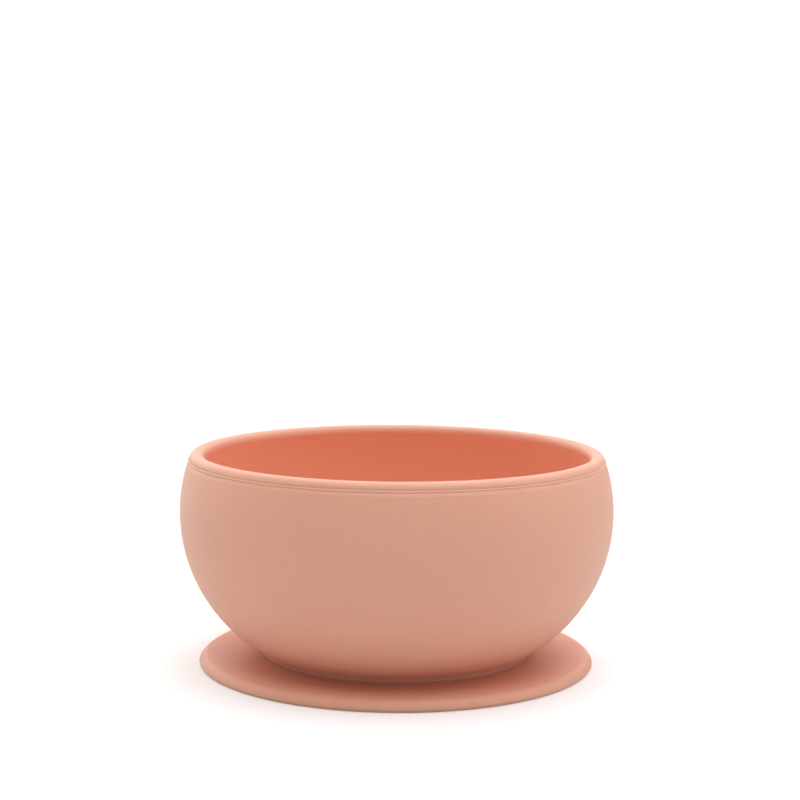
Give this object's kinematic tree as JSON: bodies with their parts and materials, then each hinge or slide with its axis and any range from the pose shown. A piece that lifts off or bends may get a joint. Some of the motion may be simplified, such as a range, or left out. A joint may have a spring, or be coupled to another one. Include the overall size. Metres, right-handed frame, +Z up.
{
  "type": "suction bowl",
  "caption": "Round silicone baby bowl with a full-round lip, bonded to a thin suction disc with a release tab.",
  "frame": {"origin": "on the table, on the bowl's axis", "axes": "+Z up along the bowl's axis, release tab towards +Y"},
  "size_m": [0.125, 0.125, 0.0616],
  "materials": {
    "bowl_silicone": "matte moulded silicone, terracotta pink",
    "disc_silicone": "matte moulded silicone, terracotta pink"
  },
  "bodies": {
    "suction_disc": {"suction_disc": "disc_silicone"},
    "bowl": {"bowl": "bowl_silicone"},
    "release_tab": {"release_tab": "disc_silicone"}
  },
  "joints": [
    {"name": "cup_press", "type": "slide", "parent": "suction_disc", "child": "bowl", "axis": [0, 0, 1], "range_m": [-0.0012, 0], "stiffness_N_per_m": 8000, "springref_m": 0.0004, "deforming": ["suction_disc"]},
    {"name": "tab_lift", "type": "hinge", "parent": "suction_disc", "child": "release_tab", "pos_m": [0, 0.05605, 0.002], "axis": [1, 0, 0], "range_deg": [0, 60], "stiffness_Nm_per_rad": 0.01, "springref_deg": -5.73}
  ]
}
